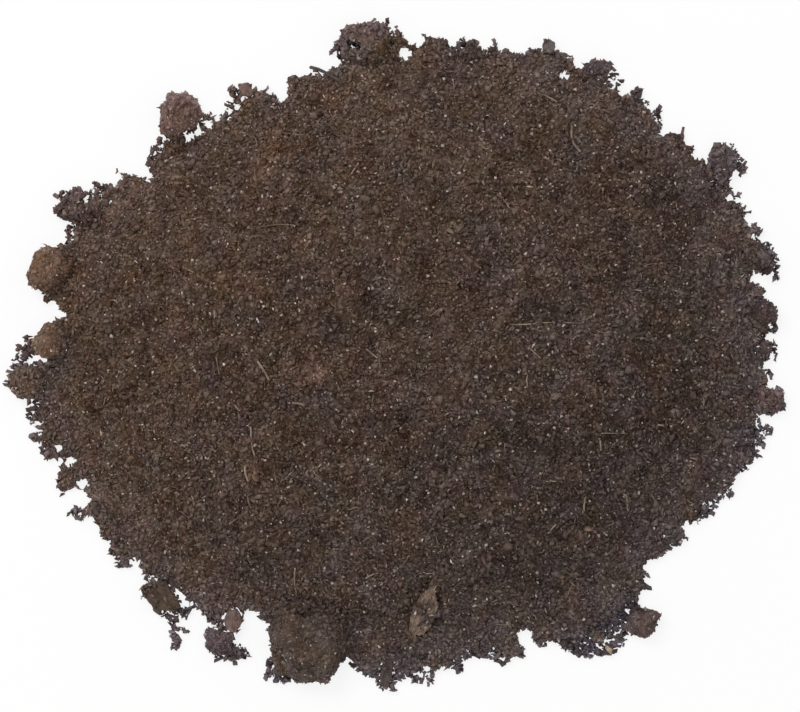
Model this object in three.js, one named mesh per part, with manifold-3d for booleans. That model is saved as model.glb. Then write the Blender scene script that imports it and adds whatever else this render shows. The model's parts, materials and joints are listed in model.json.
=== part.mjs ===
// A low heap of loose, peaty terrarium substrate lying on a flat surface: the crumbly mound,
// the clods that have rolled to its rim, and the chips of bark and the twig caught in it.
// Millimetres, +Z up. The flat underside is at z = 0, and bearings run in degrees from +X towards +Y.

import * as THREE from 'three';
import { SimplexNoise } from 'three/addons/math/SimplexNoise.js';
import { mergeVertices } from 'three/addons/utils/BufferGeometryUtils.js';
import Module from 'manifold-3d';

// Mound: a low dome on a lobed, ragged outline
const MOUND_LENGTH = 290; // between the mean rims, along X
const MOUND_WIDTH = 250; // between the mean rims, along Y
const MOUND_HEIGHT = 48; // dome that the highest crumbs reach, above the underside
const DOME_FULLNESS = 2.5; // power of the dome's curve: higher is flatter on top and steeper at the side
const TOE_SPREAD = 1.4; // power of the toe's curve: over 1, the side runs out thin towards the rim
const RIM_HEIGHT = 2.4; // thickness of the layer where it ends at the rim
const RIM_UNDERCUT = 1.2; // how far the rim overhangs the underside
const RIM_RAGGEDNESS = 3.2; // small ins and outs of the rim
const RIM_RAG_PITCH = 13; // spacing of those ins and outs

// How far the rim stands out from its mean ellipse, at even steps of bearing all the way round
const RIM_LOBES = [6, 9, 11, 6, 9, -1, 3, -10, -10, -12, -7, -4, -3, 2, -1, -2, -4, -4, 4, -2, 9, 7, -2, 7];

// Relief of the mound's surface
const LUMP_DEPTH = 5; // hollows between neighbouring lumps
const LUMP_PITCH = 26;
const CRUMB_DEPTH = 4; // hollows between neighbouring crumbs
const CRUMB_PITCH = 9;
const FACET_PITCH = 5.4; // spacing of the surface's facets
const FACET_SHAKE = 1.7; // how far a facet's corner strays from its even place

// Crumbs fused to the mound all round its rim
const RIM_CRUMB_PITCH = 9.8; // stretch of rim that each one has
const RIM_CRUMB_SMALL = 4; // smallest crumb across
const RIM_CRUMB_LARGE = 11; // largest crumb across
const RIM_CRUMB_BIAS = 1.6; // over 1, small crumbs are commoner than large ones
const RIM_CRUMB_LIFT = 0.3; // height of a crumb's middle, as a share of its breadth
const RIM_CRUMB_SEAT = 0.6; // least distance that its middle lies in from the rim
const RIM_CRUMB_INSET = 0.3; // further distance that it may lie in, as a share of its breadth
const RIM_CRUMB_STRETCH = 0.2; // how far it strays from round
const SPUR_CHANCE = 0.4; // share of the crumbs that carry a smaller one further out
const SPUR_SHRINK = 0.7; // breadth of the smaller one against that of its carrier
const SPUR_STEP = 0.36; // distance between their middles, as a share of the carrier's breadth
const SPUR_FAN = 60; // how far a spur may point away from straight out, in degrees

// Clods and chips
const SEAT_CLEARANCE = 0.35; // gap round a piece that is seated in the mound
const SEAT_MITRE = 0.35; // a sharp corner's seat keeps at most the clearance over this
const SEAT_BERTH = 1; // distance that rim crumbs keep from a piece
const SEAT_MOUTH = 5; // how far a rim piece's seat runs on outwards, past the crumbs outside it
const FOOT_SHARE = 0.3; // share of a rim piece's round form that its flat foot takes off
const CLOD_LUMPINESS = 0.3;
const CLOD_LUMP_FREQUENCY = 1.4;
const CLOD_BREAKS = 7; // flat faces where a clod has broken off, unless its own entry says
const CLOD_BREAK_DEPTH = 0.72; // distance of those faces from its middle, as a share of its half breadth
const CLOD_FACETS = 1; // fineness of a clod's facets, unless its own entry says
const RED_CHIP_BEARING = 239.2; // the lower left clod rests against that chip's outer end
const CHIP_RAGGEDNESS = 0.16;
const CHIP_TAPER = 0.14; // how far a chip narrows towards its ends and edges
const CHIP_SLANT = 0.3; // how far its broken ends run aslant
const CHIP_SPLINTER = 0.14; // how far strands of its grain stand out at those ends
const CHIP_GRAIN_FREQUENCY = 5;
const CHIP_FACETS = { along: 5, across: 4, through: 1 };
const TWIG_CROOKEDNESS = 0.5;
const TWIG_TAPER = 0.84; // thin end against thick end
const TWIG_FACETS = { around: 7, along: 5 };

// Clods at the rim: length lies at turn, and sunk is how far the piece reaches in from the rim
const CLODS = [
  {
    name: 'large_clod',
    length: 34,
    width: 30,
    height: 19,
    turn: 100,
    bearing: 253.5,
    sunk: 18.9,
    facets: 2,
    breaks: 2,
  },
  {
    name: 'upper_left_clod',
    length: 21,
    width: 18,
    height: 14,
    turn: 60,
    bearing: 132,
    sunk: 2.3,
    facets: 2,
  },
  { name: 'left_clod', length: 15, width: 14, height: 12, turn: 40, bearing: 178, sunk: 12.8, breaks: 2 },
  { name: 'far_left_clod', length: 15, width: 14, height: 7, turn: 80, bearing: 184.5, sunk: 2.1 },
  { name: 'left_corner_clod', length: 18, width: 12, height: 8, turn: 15, bearing: 155, sunk: 1.4 },
  { name: 'top_clod', length: 23, width: 15, height: 11, turn: 5, bearing: 95.5, sunk: 6.5, facets: 2 },
  { name: 'upper_right_clod', length: 14.5, width: 9, height: 8, turn: 15, bearing: 54.5, sunk: 5.8 },
  { name: 'spiky_clod', length: 16, width: 13, height: 8, turn: 70, bearing: 30, sunk: 3.2 },
  { name: 'hook_clod', length: 16, width: 11, height: 9, turn: 112, bearing: 14.5, sunk: 8.4 },
  { name: 'right_clod', length: 13, width: 12, height: 10, turn: 80, bearing: 6, sunk: 11.1, breaks: 2 },
  { name: 'small_right_clod', length: 8, width: 7, height: 6, turn: 30, bearing: 0.5, sunk: 6.9 },
  { name: 'spur_clod', length: 14, width: 11, height: 8, turn: -20, bearing: 353, sunk: 4.9 },
  {
    name: 'lower_right_clod',
    length: 14,
    width: 13,
    height: 11,
    turn: 50,
    bearing: 313,
    sunk: 1.2,
    breaks: 3,
  },
  { name: 'lower_small_clod', length: 9, width: 5.5, height: 5, turn: 20, bearing: 327, sunk: 6.4 },
  {
    name: 'lower_left_clod',
    length: 16,
    width: 11,
    height: 6,
    turn: -50,
    bearing: RED_CHIP_BEARING,
    sunk: -2.95,
  },
];

// A clod that is a mat of reddish root fibre
const FIBRE_CLODS = [
  { name: 'fibrous_clod', length: 21, width: 17, height: 11, turn: 75, bearing: 166, sunk: 8.5, facets: 2 },
];

// Chips of bark at the rim, flat on the surface that the heap lies on
const DARK_CHIPS = [
  { name: 'brown_chip', length: 15.5, width: 10.5, height: 5, turn: 124, bearing: 226.5, sunk: 1.2 },
  { name: 'block_chip', length: 6, width: 5, height: 4, turn: 80, bearing: 63, sunk: 1.6 },
  { name: 'slat_chip', length: 13, width: 4.6, height: 3, turn: 80, bearing: 269, sunk: 9.8 },
];
const RED_CHIPS = [
  { name: 'red_chip', length: 9.5, width: 7, height: 4.5, turn: 75, bearing: RED_CHIP_BEARING, sunk: 6.3 },
  { name: 'rust_chip', length: 6.5, width: 5, height: 4, turn: 110, bearing: 119, sunk: 4.3 },
];
const PALE_CHIPS = [
  { name: 'tan_chip', length: 5.5, width: 3.8, height: 3, turn: 125, bearing: 306, sunk: 1.2 },
];

// Pieces lying on the mound: inside is how far their middle lies in from the rim
const SLOPE_CHIPS = [
  { name: 'bark_chip', hue: 'bark', length: 24, width: 8.5, height: 3.6, turn: 72, bearing: 277, inside: 23 },
  { name: 'surface_chip', hue: 'rust', length: 8, width: 6, height: 3, turn: 40, bearing: 195, inside: 111 },
];
const CHIP_BEDDING = 1.6; // how deep a chip on the slope lies in the crumbs
const TWIG = { name: 'twig', length: 16, width: 2.2, height: 2.2, turn: -26, bearing: 103, inside: 2 };
const TWIG_BEDDING = 1;

// Finishes
const COLOURS = {
  peat: 0x473b35,
  fibre: 0x5a4236,
  chip: 0x4b3a30,
  bark: 0x7a6349,
  rust: 0x6b4a3d,
  pale: 0x9a8567,
};
const ROUGHNESS = 0.95;

const DEGREE = Math.PI / 180;
const UP = [0, 0, 1];
const RELIEF_SEED = 11;
const RELIEF_SPREAD = 100; // how far apart in the noise two pieces may take their relief
const RING_SIDES = 6; // each ring of the mound's facets has this many more corners than the last
const wasm = await Module();
wasm.setup();
THREE.MathUtils.seededRandom(RELIEF_SEED);
const random = () => THREE.MathUtils.seededRandom();
const noise = new SimplexNoise({ random });

// Outline and surface of the mound

function rimLobe(bearing) {
  const place = (THREE.MathUtils.euclideanModulo(bearing, 360) / 360) * RIM_LOBES.length;
  const before = Math.floor(place);
  const after = (before + 1) % RIM_LOBES.length;
  const ease = THREE.MathUtils.smoothstep(place - before, 0, 1);
  return THREE.MathUtils.lerp(RIM_LOBES[before], RIM_LOBES[after], ease);
}

function rimRadius(bearing) {
  const along = (MOUND_LENGTH / 2) * Math.sin(bearing * DEGREE);
  const across = (MOUND_WIDTH / 2) * Math.cos(bearing * DEGREE);
  const ellipse = (MOUND_LENGTH * MOUND_WIDTH) / 4 / Math.hypot(along, across);
  return ellipse + rimLobe(bearing);
}

function raggedRim(bearing) {
  const smooth = rimRadius(bearing);
  const x = (smooth * Math.cos(bearing * DEGREE)) / RIM_RAG_PITCH;
  const y = (smooth * Math.sin(bearing * DEGREE)) / RIM_RAG_PITCH;
  return smooth + RIM_RAGGEDNESS * noise.noise(x, y);
}

function domeHeight(x, y) {
  const share = Math.hypot(x, y) / rimRadius(Math.atan2(y, x) / DEGREE);
  return RIM_HEIGHT + (MOUND_HEIGHT - RIM_HEIGHT) * Math.max(0, 1 - share ** DOME_FULLNESS) ** TOE_SPREAD;
}

// Depth of the hollows below the dome, fading out towards the rim
function hollowDepth(x, y) {
  const lumps = LUMP_DEPTH * (0.5 - 0.5 * noise.noise(x / LUMP_PITCH, y / LUMP_PITCH));
  const crumbs = CRUMB_DEPTH * (0.5 - 0.5 * noise.noise(x / CRUMB_PITCH, y / CRUMB_PITCH));
  const share = (domeHeight(x, y) - RIM_HEIGHT) / (LUMP_DEPTH + CRUMB_DEPTH);
  return (lumps + crumbs) * Math.min(1, share);
}

function surfaceHeight(x, y) {
  return domeHeight(x, y) - hollowDepth(x, y);
}

// Solids

function toSolid(geometry) {
  const vertProperties = new Float32Array(geometry.getAttribute('position').array);
  const triVerts = new Uint32Array(geometry.getIndex().array);
  return new wasm.Manifold(new wasm.Mesh({ numProp: 3, vertProperties, triVerts }));
}

function toGeometry(solid) {
  const mesh = solid.getMesh();
  return indexedGeometry(mesh.vertProperties, mesh.triVerts);
}

function indexedGeometry(positions, indices) {
  const geometry = new THREE.BufferGeometry();
  geometry.setAttribute('position', new THREE.Float32BufferAttribute(positions, 3));
  geometry.setIndex(Array.from(indices));
  return geometry;
}

// A three.js form with its corners shared between its faces
function closedForm(geometry) {
  geometry.deleteAttribute('normal');
  geometry.deleteAttribute('uv');
  return mergeVertices(geometry);
}

function moveCorners(geometry, move) {
  const corners = geometry.getAttribute('position');
  const corner = new THREE.Vector3();
  for (let i = 0; i < corners.count; i += 1) {
    corner.fromBufferAttribute(corners, i);
    move(corner, i);
    corners.setXYZ(i, corner.x, corner.y, corner.z);
  }
  return geometry;
}

// Centres a form on the origin and gives it exactly these sizes
function fitTo(geometry, length, width, height) {
  geometry.computeBoundingBox();
  geometry.center();
  const size = geometry.boundingBox.getSize(new THREE.Vector3());
  return geometry.scale(length / size.x, width / size.y, height / size.z);
}

// Mound: rings of facets from the crest to the rim, a low wall there, and the flat underside

function ringStart(ring) {
  return ring === 0 ? 0 : 1 + (RING_SIDES / 2) * ring * (ring - 1);
}

function moundCorner(ring, rings, step) {
  const bearing = (360 * step) / (RING_SIDES * ring);
  const atRim = ring === rings;
  const reach = atRim ? raggedRim(bearing) : (rimRadius(bearing) * ring) / rings;
  const shake = atRim ? 0 : FACET_SHAKE;
  const x = reach * Math.cos(bearing * DEGREE) + shake * (2 * random() - 1);
  const y = reach * Math.sin(bearing * DEGREE) + shake * (2 * random() - 1);
  return new THREE.Vector3(x, y, surfaceHeight(x, y) - shake * random());
}

function moundGeometry() {
  const rings = Math.round(MOUND_LENGTH / 2 / FACET_PITCH);
  const corners = [new THREE.Vector3(0, 0, surfaceHeight(0, 0))];
  const faces = [];
  for (let ring = 1; ring <= rings; ring += 1) {
    for (let step = 0; step < RING_SIDES * ring; step += 1) {
      corners.push(moundCorner(ring, rings, step));
    }
    for (let side = 0; side < RING_SIDES; side += 1) {
      for (let i = 0; i < ring; i += 1) {
        const outer = ringStart(ring) + side * ring + i;
        const outerNext = ringStart(ring) + ((side * ring + i + 1) % (RING_SIDES * ring));
        const innerCount = Math.max(1, RING_SIDES * (ring - 1));
        const inner = ringStart(ring - 1) + ((side * (ring - 1) + i) % innerCount);
        const innerNext = ringStart(ring - 1) + ((side * (ring - 1) + i + 1) % innerCount);
        faces.push(inner, outer, outerNext);
        if (i < ring - 1) {
          faces.push(inner, outerNext, innerNext);
        }
      }
    }
  }
  const rimCount = RING_SIDES * rings;
  const rim = ringStart(rings);
  const foot = corners.length;
  for (let step = 0; step < rimCount; step += 1) {
    const above = corners[rim + step];
    const inwards = 1 - RIM_UNDERCUT / Math.hypot(above.x, above.y);
    corners.push(new THREE.Vector3(above.x * inwards, above.y * inwards, 0));
  }
  const middle = corners.length;
  corners.push(new THREE.Vector3(0, 0, 0));
  for (let step = 0; step < rimCount; step += 1) {
    const next = (step + 1) % rimCount;
    faces.push(foot + step, foot + next, rim + next);
    faces.push(foot + step, rim + next, rim + step);
    faces.push(middle, foot + next, foot + step);
  }
  return indexedGeometry(corners.flatMap((corner) => corner.toArray()), faces);
}

// Forms of the loose pieces, each centred on the origin with its length along X

function clodForm({ length, width, height, facets = CLOD_FACETS, breaks = CLOD_BREAKS }) {
  const form = closedForm(new THREE.IcosahedronGeometry(1, facets));
  const offset = RELIEF_SPREAD * random();
  moveCorners(form, (corner) => {
    const at = corner.clone().multiplyScalar(CLOD_LUMP_FREQUENCY).addScalar(offset);
    corner.multiplyScalar(1 + CLOD_LUMPINESS * noise.noise3d(at.x, at.y, at.z));
  });
  for (let i = 0; i < breaks; i += 1) {
    breakFace(form, CLOD_BREAK_DEPTH);
  }
  return fitTo(form, length, width, height);
}

// Flattens a form where it stands out past a face that points any way
function breakFace(form, depth) {
  const facing = new THREE.Vector3(2 * random() - 1, 2 * random() - 1, 2 * random() - 1).normalize();
  moveCorners(form, (corner) => {
    corner.addScaledVector(facing, Math.min(0, depth - corner.dot(facing)));
  });
}

// A plate with slanting, splintered ends and grain along its length
function chipForm({ length, width, height }) {
  const plate = new THREE.BoxGeometry(1, 1, 1, CHIP_FACETS.along, CHIP_FACETS.across, CHIP_FACETS.through);
  const form = closedForm(plate);
  const offset = RELIEF_SPREAD * random();
  moveCorners(form, (corner) => {
    const grain = CHIP_RAGGEDNESS * noise.noise(offset, CHIP_GRAIN_FREQUENCY * corner.y);
    const edge = CHIP_RAGGEDNESS * noise.noise(CHIP_GRAIN_FREQUENCY * corner.x, offset);
    const splinter = CHIP_SPLINTER * noise.noise(offset + corner.x, 2 * CHIP_GRAIN_FREQUENCY * corner.y);
    const along = (2 * corner.x) ** 2;
    const across = (2 * corner.y) ** 2;
    corner.x += along * (CHIP_SLANT * (width / length) * corner.y + splinter * Math.sign(corner.x));
    corner.x *= 1 + grain - CHIP_TAPER * across;
    corner.y *= 1 + edge - CHIP_TAPER * along;
    corner.z *= 1 + grain - (CHIP_TAPER * (along + across)) / 2;
  });
  return fitTo(form, length, width, height);
}

function twigForm({ length, width, height }) {
  const stem = new THREE.CylinderGeometry(1, TWIG_TAPER, 2, TWIG_FACETS.around, TWIG_FACETS.along);
  const form = closedForm(stem);
  form.rotateZ(Math.PI / 2);
  form.scale(length / width, 1, 1);
  moveCorners(form, (corner) => {
    corner.y += 2 * TWIG_CROOKEDNESS * noise.noise(corner.x / length, 0);
    corner.z += 2 * TWIG_CROOKEDNESS * noise.noise(0, corner.x / length);
  });
  return fitTo(form, length, width, height);
}

// The form of a piece that stands on the surface under the heap: its underside is cut off flat
function footedForm(makeForm, spec) {
  const form = makeForm({ ...spec, height: spec.height / (1 - FOOT_SHARE) });
  const foot = spec.height / 2 - spec.height / (1 - FOOT_SHARE) / 2;
  moveCorners(form, (corner) => {
    corner.z = Math.max(corner.z + foot, -spec.height / 2);
  });
  return form;
}

// Places of the loose pieces

// On the surface under the heap, reaching in from the rim by the piece's own depth
function rimPlace(form, { turn, bearing, sunk, height }) {
  const outwards = new THREE.Vector3(Math.cos(bearing * DEGREE), Math.sin(bearing * DEGREE), 0);
  const turned = form.clone().rotateZ(turn * DEGREE);
  let innermost = 0;
  moveCorners(turned, (corner) => {
    innermost = Math.min(innermost, corner.dot(outwards));
  });
  const middle = outwards.multiplyScalar(raggedRim(bearing) - sunk - innermost);
  middle.z = height / 2;
  return new THREE.Matrix4().makeRotationZ(turn * DEGREE).setPosition(middle);
}

// On the mound, square to its slope and bedded in it
function slopePlace({ turn, bearing, inside, height }, bedding) {
  const reach = rimRadius(bearing) - inside;
  const x = reach * Math.cos(bearing * DEGREE);
  const y = reach * Math.sin(bearing * DEGREE);
  const span = FACET_PITCH;
  const normal = new THREE.Vector3(
    domeHeight(x - span, y) - domeHeight(x + span, y),
    domeHeight(x, y - span) - domeHeight(x, y + span),
    2 * span,
  ).normalize();
  const lean = new THREE.Quaternion().setFromUnitVectors(new THREE.Vector3(0, 0, 1), normal);
  const spin = new THREE.Quaternion().setFromAxisAngle(new THREE.Vector3(0, 0, 1), turn * DEGREE);
  const middle = new THREE.Vector3(x, y, surfaceHeight(x, y)).addScaledVector(normal, height / 2 - bedding);
  return new THREE.Matrix4().compose(middle, lean.multiply(spin), new THREE.Vector3(1, 1, 1));
}

// A copy of a form with every face moved out by the clearance
function grownForm(form, clearance) {
  const corners = form.getAttribute('position');
  const index = form.getIndex().array;
  const facings = Array.from({ length: corners.count }, () => []);
  const face = new THREE.Triangle();
  for (let i = 0; i < index.length; i += 3) {
    face.setFromAttributeAndIndices(corners, index[i], index[i + 1], index[i + 2]);
    const facing = face.getNormal(new THREE.Vector3());
    for (const corner of index.slice(i, i + 3)) {
      facings[corner].push(facing);
    }
  }
  return moveCorners(form.clone(), (corner, i) => {
    const outwards = facings[i].reduce((sum, facing) => sum.add(facing), new THREE.Vector3()).normalize();
    const sharpness = Math.min(...facings[i].map((facing) => facing.dot(outwards)));
    corner.addScaledVector(outwards, clearance / Math.max(sharpness, SEAT_MITRE));
  });
}

// A piece at its place, and the cuts that its seat needs in the mound
function seat(spec, colour, form, place) {
  const geometry = form.clone().applyMatrix4(place);
  const cuts = [grownForm(form, SEAT_CLEARANCE).applyMatrix4(place)];
  const middle = new THREE.Vector3().setFromMatrixPosition(place);
  return { name: spec.name, colour, geometry, cuts, middle, reach: spec.length / 2 };
}

function seatAtRim(specs, colour, makeForm) {
  return specs.map((spec) => {
    const form = footedForm(makeForm, spec);
    const place = rimPlace(form, spec);
    const piece = seat(spec, colour, form, place);
    const outX = SEAT_MOUTH * Math.cos(spec.bearing * DEGREE);
    const outY = SEAT_MOUTH * Math.sin(spec.bearing * DEGREE);
    piece.cuts.push(grownForm(form, 2 * SEAT_CLEARANCE).applyMatrix4(place).translate(outX, outY, 0));
    return piece;
  });
}

const rimPieces = [
  ...seatAtRim(CLODS, 'peat', clodForm),
  ...seatAtRim(FIBRE_CLODS, 'fibre', clodForm),
  ...seatAtRim(DARK_CHIPS, 'chip', chipForm),
  ...seatAtRim(RED_CHIPS, 'rust', chipForm),
  ...seatAtRim(PALE_CHIPS, 'pale', chipForm),
];

const slopePieces = SLOPE_CHIPS.map((spec) => {
  const form = chipForm(spec);
  return seat(spec, spec.hue, form, slopePlace(spec, CHIP_BEDDING));
});

const twigPiece = twigForm(TWIG);
slopePieces.push(seat(TWIG, 'chip', twigPiece, slopePlace(TWIG, TWIG_BEDDING)));

// Crumbs round the rim, left out where a clod or chip has its seat

function crumbForm(across, x, y) {
  const crumb = closedForm(new THREE.OctahedronGeometry(across / 2, 0));
  const stretch = 1 + RIM_CRUMB_STRETCH * random();
  crumb.scale(stretch, 1 / stretch, 1);
  crumb.rotateX(Math.PI * random());
  crumb.rotateZ(Math.PI * random());
  crumb.translate(x, y, RIM_CRUMB_LIFT * across);
  crumb.computeBoundingSphere();
  return crumb;
}

// One crumb at the rim, and for some a smaller one that reaches further out
function rimCrumbs(bearing) {
  const across = THREE.MathUtils.lerp(RIM_CRUMB_SMALL, RIM_CRUMB_LARGE, random() ** RIM_CRUMB_BIAS);
  const distance = raggedRim(bearing) - RIM_CRUMB_SEAT - RIM_CRUMB_INSET * across * random();
  const x = distance * Math.cos(bearing * DEGREE);
  const y = distance * Math.sin(bearing * DEGREE);
  const crumbs = [crumbForm(across, x, y)];
  if (random() < SPUR_CHANCE) {
    const pointing = (bearing + SPUR_FAN * (2 * random() - 1)) * DEGREE;
    const outX = x + SPUR_STEP * across * Math.cos(pointing);
    const outY = y + SPUR_STEP * across * Math.sin(pointing);
    crumbs.push(crumbForm(SPUR_SHRINK * across, outX, outY));
  }
  return crumbs;
}

function isClearOfPieces(crumb) {
  const { center, radius } = crumb.boundingSphere;
  return [...rimPieces, ...slopePieces].every(({ middle, reach }) => {
    return Math.hypot(center.x - middle.x, center.y - middle.y) > reach + radius + SEAT_BERTH;
  });
}

let mound = toSolid(moundGeometry());
const crumbCount = Math.round((Math.PI * (MOUND_LENGTH + MOUND_WIDTH)) / 2 / RIM_CRUMB_PITCH);
for (let i = 0; i < crumbCount; i += 1) {
  const crumbs = rimCrumbs(((i + random()) * 360) / crumbCount);
  if (crumbs.every(isClearOfPieces)) {
    mound = crumbs.reduce((solid, crumb) => solid.add(toSolid(crumb).trimByPlane(UP, 0)), mound);
  }
}
for (const cut of [...rimPieces, ...slopePieces].flatMap(({ cuts }) => cuts)) {
  mound = mound.subtract(toSolid(cut));
}

// The heap, with the middle of its outline at the origin

function namedMesh(name, geometry, colour) {
  const material = new THREE.MeshStandardMaterial({
    color: COLOURS[colour],
    roughness: ROUGHNESS,
    metalness: 0,
    flatShading: true,
  });
  const mesh = new THREE.Mesh(geometry, material);
  mesh.name = name;
  return mesh;
}

const heap = new THREE.Group();
heap.add(namedMesh('mound', toGeometry(mound), 'peat'));
for (const { name, geometry, colour } of [...rimPieces, ...slopePieces]) {
  heap.add(namedMesh(name, geometry, colour));
}
const middle = new THREE.Box3().setFromObject(heap).getCenter(new THREE.Vector3());
heap.position.set(-middle.x, -middle.y, 0);

export default heap;
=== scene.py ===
"""A low heap of loose peat substrate: a crumbly mound with a ragged rim, the clods that have rolled to it,
chips of bark, a twig and root fibres. It lies on a white floor and is seen from straight above."""

import json
import math
from contextlib import contextmanager

import bpy
import numpy as np
from mathutils import Matrix, Vector, noise
from mathutils.bvhtree import BVHTree
from mathutils.kdtree import KDTree

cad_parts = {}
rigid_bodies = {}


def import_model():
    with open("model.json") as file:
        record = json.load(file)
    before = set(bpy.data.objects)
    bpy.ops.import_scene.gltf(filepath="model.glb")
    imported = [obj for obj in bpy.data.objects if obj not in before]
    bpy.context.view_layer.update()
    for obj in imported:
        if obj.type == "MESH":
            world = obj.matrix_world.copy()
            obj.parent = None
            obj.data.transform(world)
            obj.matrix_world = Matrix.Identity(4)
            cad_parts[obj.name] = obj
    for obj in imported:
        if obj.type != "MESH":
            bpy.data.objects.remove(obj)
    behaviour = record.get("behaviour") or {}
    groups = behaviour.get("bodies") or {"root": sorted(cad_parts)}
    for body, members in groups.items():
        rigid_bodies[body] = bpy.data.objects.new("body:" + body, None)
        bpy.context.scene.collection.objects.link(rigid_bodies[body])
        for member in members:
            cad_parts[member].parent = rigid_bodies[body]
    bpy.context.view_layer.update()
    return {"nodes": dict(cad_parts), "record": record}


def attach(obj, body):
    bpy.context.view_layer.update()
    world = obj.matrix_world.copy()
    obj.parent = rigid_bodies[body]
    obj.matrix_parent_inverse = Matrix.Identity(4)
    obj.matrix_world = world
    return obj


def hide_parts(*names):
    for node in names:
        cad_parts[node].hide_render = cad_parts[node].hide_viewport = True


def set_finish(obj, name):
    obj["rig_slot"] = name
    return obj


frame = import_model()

MM = 0.001
SEED = 7

# The photograph's frame
PHOTO_WIDTH = 800
PHOTO_HEIGHT = 712
PIXEL = 0.4 * MM  # on the floor
HEAP_MIDDLE = (397, 356.5)  # pixel over the middle of the heap's outline
CAMERA_HEIGHT = 1.6
ABOVE_ALL = 1  # height from which the ground is sounded
SENSOR = 36

# Light
WHITE = (1, 1, 1, 1)
SKY_STRENGTH = 0.72
LAMP_PLACE = (-0.9, 0.95, 1.7)
LAMP_SIZE = 1.2
LAMP_POWER = 16
FLOOR_REACH = 6
FLOOR_DROP = 0.3 * MM  # below the underside, so that the two faces don't meet
FLOOR_GLOW = 0.8  # share of the floor's white that shadow can't take away
FLOOR_BOUNCE = (0.85, 0.85, 0.85)

# Surfaces that stand for the solids
SURFACE = "_surface"  # ends the names of the pieces that stand for nodes
WELD = 0.01 * MM
BED_FACET = 1.4 * MM
CLOD_FACET = 0.8 * MM
FREE_ABOVE = 1 / 3  # of a facet, from the floor to where relief starts
LEVEL_WITHIN = math.radians(1)  # of each other, for faces that become one
# Relief: kind and pitch of its texture, depth, and the texture's value that moves nothing. A value over a
# half lowers the surface, so that the crumbs on it come up to the solid's face.
BED_RELIEF = [("CLOUDS", 3 * MM, 1 * MM, 0.95), ("VORONOI", 2.4 * MM, -1 * MM, 0.5)]
CLOD_RELIEF = [("CLOUDS", 5 * MM, 2.4 * MM, 0.65), ("VORONOI", 2 * MM, -0.9 * MM, 0.5)]
BANK_REACH = 7 * MM  # round a clod, where the bed is heaped up against it
BANK_SHARE = 0.85  # of the clod's height that the bank reaches
BANK_SLOPE = 1
CHIP_FACET = 0.4 * MM
CHIP_RIDGE = 0.4 * MM
TWIG_FACET = 0.25 * MM
TWIG_RIDGE = 0.15 * MM
GRAIN_PITCH = (9, 0.9, 0.9)  # millimetres along, across and through a chip
SCALE_PITCH = (2.5, 1.6, 1.6)  # of the scales that its bark breaks into
SCALE_SHIFT = (0, 0, 40)
SCALE_RIDGE = 0.6  # of the ridges along the grain
CHIPS = [
    "bark_chip", "brown_chip", "red_chip", "rust_chip", "block_chip", "slat_chip", "tan_chip",
    "surface_chip",
]

# Crumbs: sizes across as least, middle and most, and how many lie on the heap
FINE_CRUMBS = 47000
FINE_SIZE = (0.8 * MM, 1.6 * MM, 2.6 * MM)
FINE_STRETCH = (2.2, 0.5)  # the longest and the thinnest, of its size
CLOD_CRUMBS = 0.9  # to a square millimetre
CLOD_SIZE = (0.6 * MM, 1.0 * MM, 2.0 * MM)
CHIP_CRUMBS = 1.1  # to a square millimetre, where a chip is covered
CHIP_BARE = 0.06  # share of those on the rest of it
CHIP_CRUMB_LIFT = 0.5 * MM
# Pixels where a chip is covered, how far that reaches in millimetres, and the share that is covered
COVERED_SPOTS = [
    (426, 612, 9, 0.16), (435, 618, 2.4, 1), (414, 606, 2.4, 1), (441, 585, 2, 1), (411, 641, 2, 1),
    (306, 377, 4, 0.5), (313, 384, 2, 1), (597, 636, 4, 0.9), (149, 586, 3.4, 0.7),
]
SEAM_CRUMBS = 2600
SEAM_SIZE = (1.0 * MM, 1.7 * MM, 3.2 * MM)
SEAM_REACH = 2.5 * MM  # between two pieces, where crumbs fill the seam
SEAM_TRIES = 6  # places to a crumb, of which those at a seam are kept
SEAM_LIFT = 0.2  # of a crumb's size
MIDDLING_CRUMBS = 2600
MIDDLING_SIZE = (1.8 * MM, 2.3 * MM, 3.8 * MM)
COARSE_STRETCH = (1.6, 0.6)
SLIVERS = 6000
SLIVER_SIZE = (1.6 * MM, 2.6 * MM, 5.5 * MM)
SLIVER_STRETCH = (1, 0.22, 0.16)
SLIVER_LIFT = 0.3 * MM
GRIT = 6500  # pale, round grains on top
GRIT_SIZE = (0.7 * MM, 1.1 * MM, 1.6 * MM)
GRIT_LIFT = 0.4
GRIT_STRETCH = (1.3, 0.8)
# Single pale grains and splinters: pixel, length, breadth as a share of it, bearing and colour
PALE_GRAINS = [
    ((474, 604), 2.2 * MM, 0.9, 0, (212, 207, 200)), ((260, 151), 4.2 * MM, 0.3, 0, (226, 212, 182)),
    ((371, 390), 3.6 * MM, 0.3, 0, (192, 178, 158)), ((103, 433), 5.6 * MM, 0.35, -70, (172, 132, 108)),
    ((609, 648), 5 * MM, 0.8, -60, (188, 170, 144)),
]
SPLINTERED_CHIPS = ["bark_chip", "tan_chip"]
SPLINTERS = 0.35  # to a square millimetre of a chip
SPLINTER_SIZE = (2.5 * MM, 4.2 * MM, 9 * MM)
SPLINTER_STRETCH = (1, 0.22, 0.14)
SPLINTER_FAN = math.radians(9)
SPLINTER_LONGEST = 0.5  # of the chip's own length
SIZE_SPREAD = 0.3
SHAPES = 6
JAGGEDNESS = 0.3
FLAKE_JAGGEDNESS = 0.5
JAG_EVENLY = 0.6  # how alike in length the corners' moves are
JAG_OUTWARDS = 0.4  # how far they go straight out
FINE_FACES = 0.5  # share of a crumb's faces that a fine one keeps
LIFT = (-0.25, 0.22)  # of its own breadth, from the surface to a crumb's middle
SECTORS = ["left", "middle", "right"]
CELL_FILL = 0.8  # of a crumb's cell in the map
OPEN_FACING = 0.1  # least upward share of a face that crumbs lie on
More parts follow.
